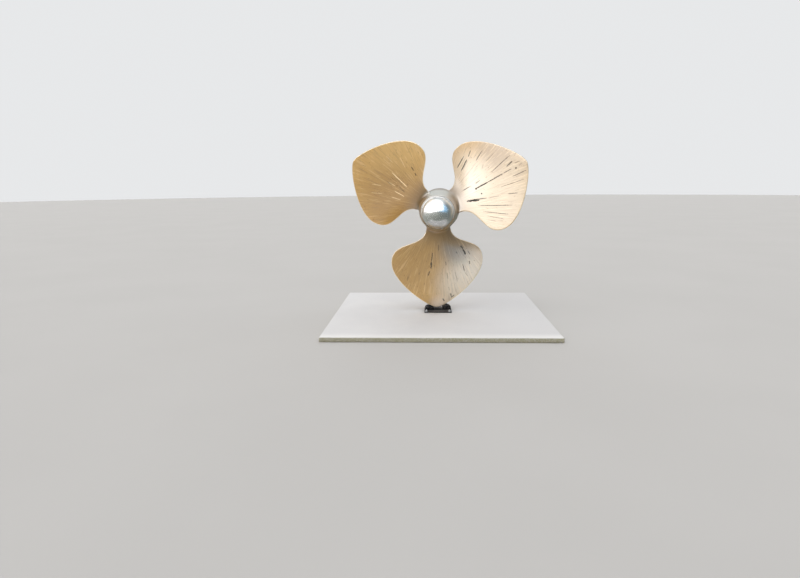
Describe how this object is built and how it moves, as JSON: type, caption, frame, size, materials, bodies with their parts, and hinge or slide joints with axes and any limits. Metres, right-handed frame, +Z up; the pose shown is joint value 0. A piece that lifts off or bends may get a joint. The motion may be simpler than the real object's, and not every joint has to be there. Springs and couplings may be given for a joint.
{
  "type": "ship propeller on a concrete pad",
  "caption": "Ship propeller with broad blades cast in one with its tapered hub, closed by a domed cap, standing on a blade tip in a steel bracket bolted to a square concrete pad.",
  "frame": {"origin": "under the middle of the square pad, on the surface that the pad rests on", "axes": "+Z up; the propeller's domed cap faces -Y, within a few degrees; +X to the right as seen from in front of the cap"},
  "size_m": [2.44, 2.44, 2.0286],
  "materials": {
    "concrete": "trowelled light grey concrete",
    "black_steel": "weathered black paint",
    "bronze_paint": "tan painted bronze with fine radial grain",
    "polished_cap": "polished",
    "bare_steel": "galvanized"
  },
  "bodies": {
    "root": {"concrete_pad": "concrete", "bracket_base_plate": "black_steel", "left_front_jaw": "black_steel", "right_front_jaw": "black_steel", "left_rear_jaw": "black_steel", "right_rear_jaw": "black_steel", "left_saddle": "black_steel", "right_saddle": "black_steel", "left_gusset": "black_steel", "right_gusset": "black_steel", "left_jaw_bolt_1": "black_steel", "left_jaw_bolt_2": "black_steel", "right_jaw_bolt_1": "black_steel", "right_jaw_bolt_2": "black_steel", "left_jaw_nut_1": "black_steel", "left_jaw_nut_2": "black_steel", "right_jaw_nut_1": "black_steel", "right_jaw_nut_2": "black_steel", "anchor_stud_1": "bare_steel", "anchor_stud_2": "bare_steel", "anchor_stud_3": "bare_steel", "anchor_stud_4": "bare_steel", "anchor_washer_1": "bare_steel", "anchor_washer_2": "bare_steel", "anchor_washer_3": "bare_steel", "anchor_washer_4": "bare_steel", "anchor_nut_1": "bare_steel", "anchor_nut_2": "bare_steel", "anchor_nut_3": "bare_steel", "anchor_nut_4": "bare_steel", "propeller_casting": "bronze_paint", "hub_cap": "polished_cap", "cap_screw_1": "bare_steel", "cap_screw_2": "bare_steel", "cap_screw_3": "bare_steel", "cap_screw_4": "bare_steel", "cap_screw_5": "bare_steel", "cap_screw_6": "bare_steel"}
  },
  "joints": []
}
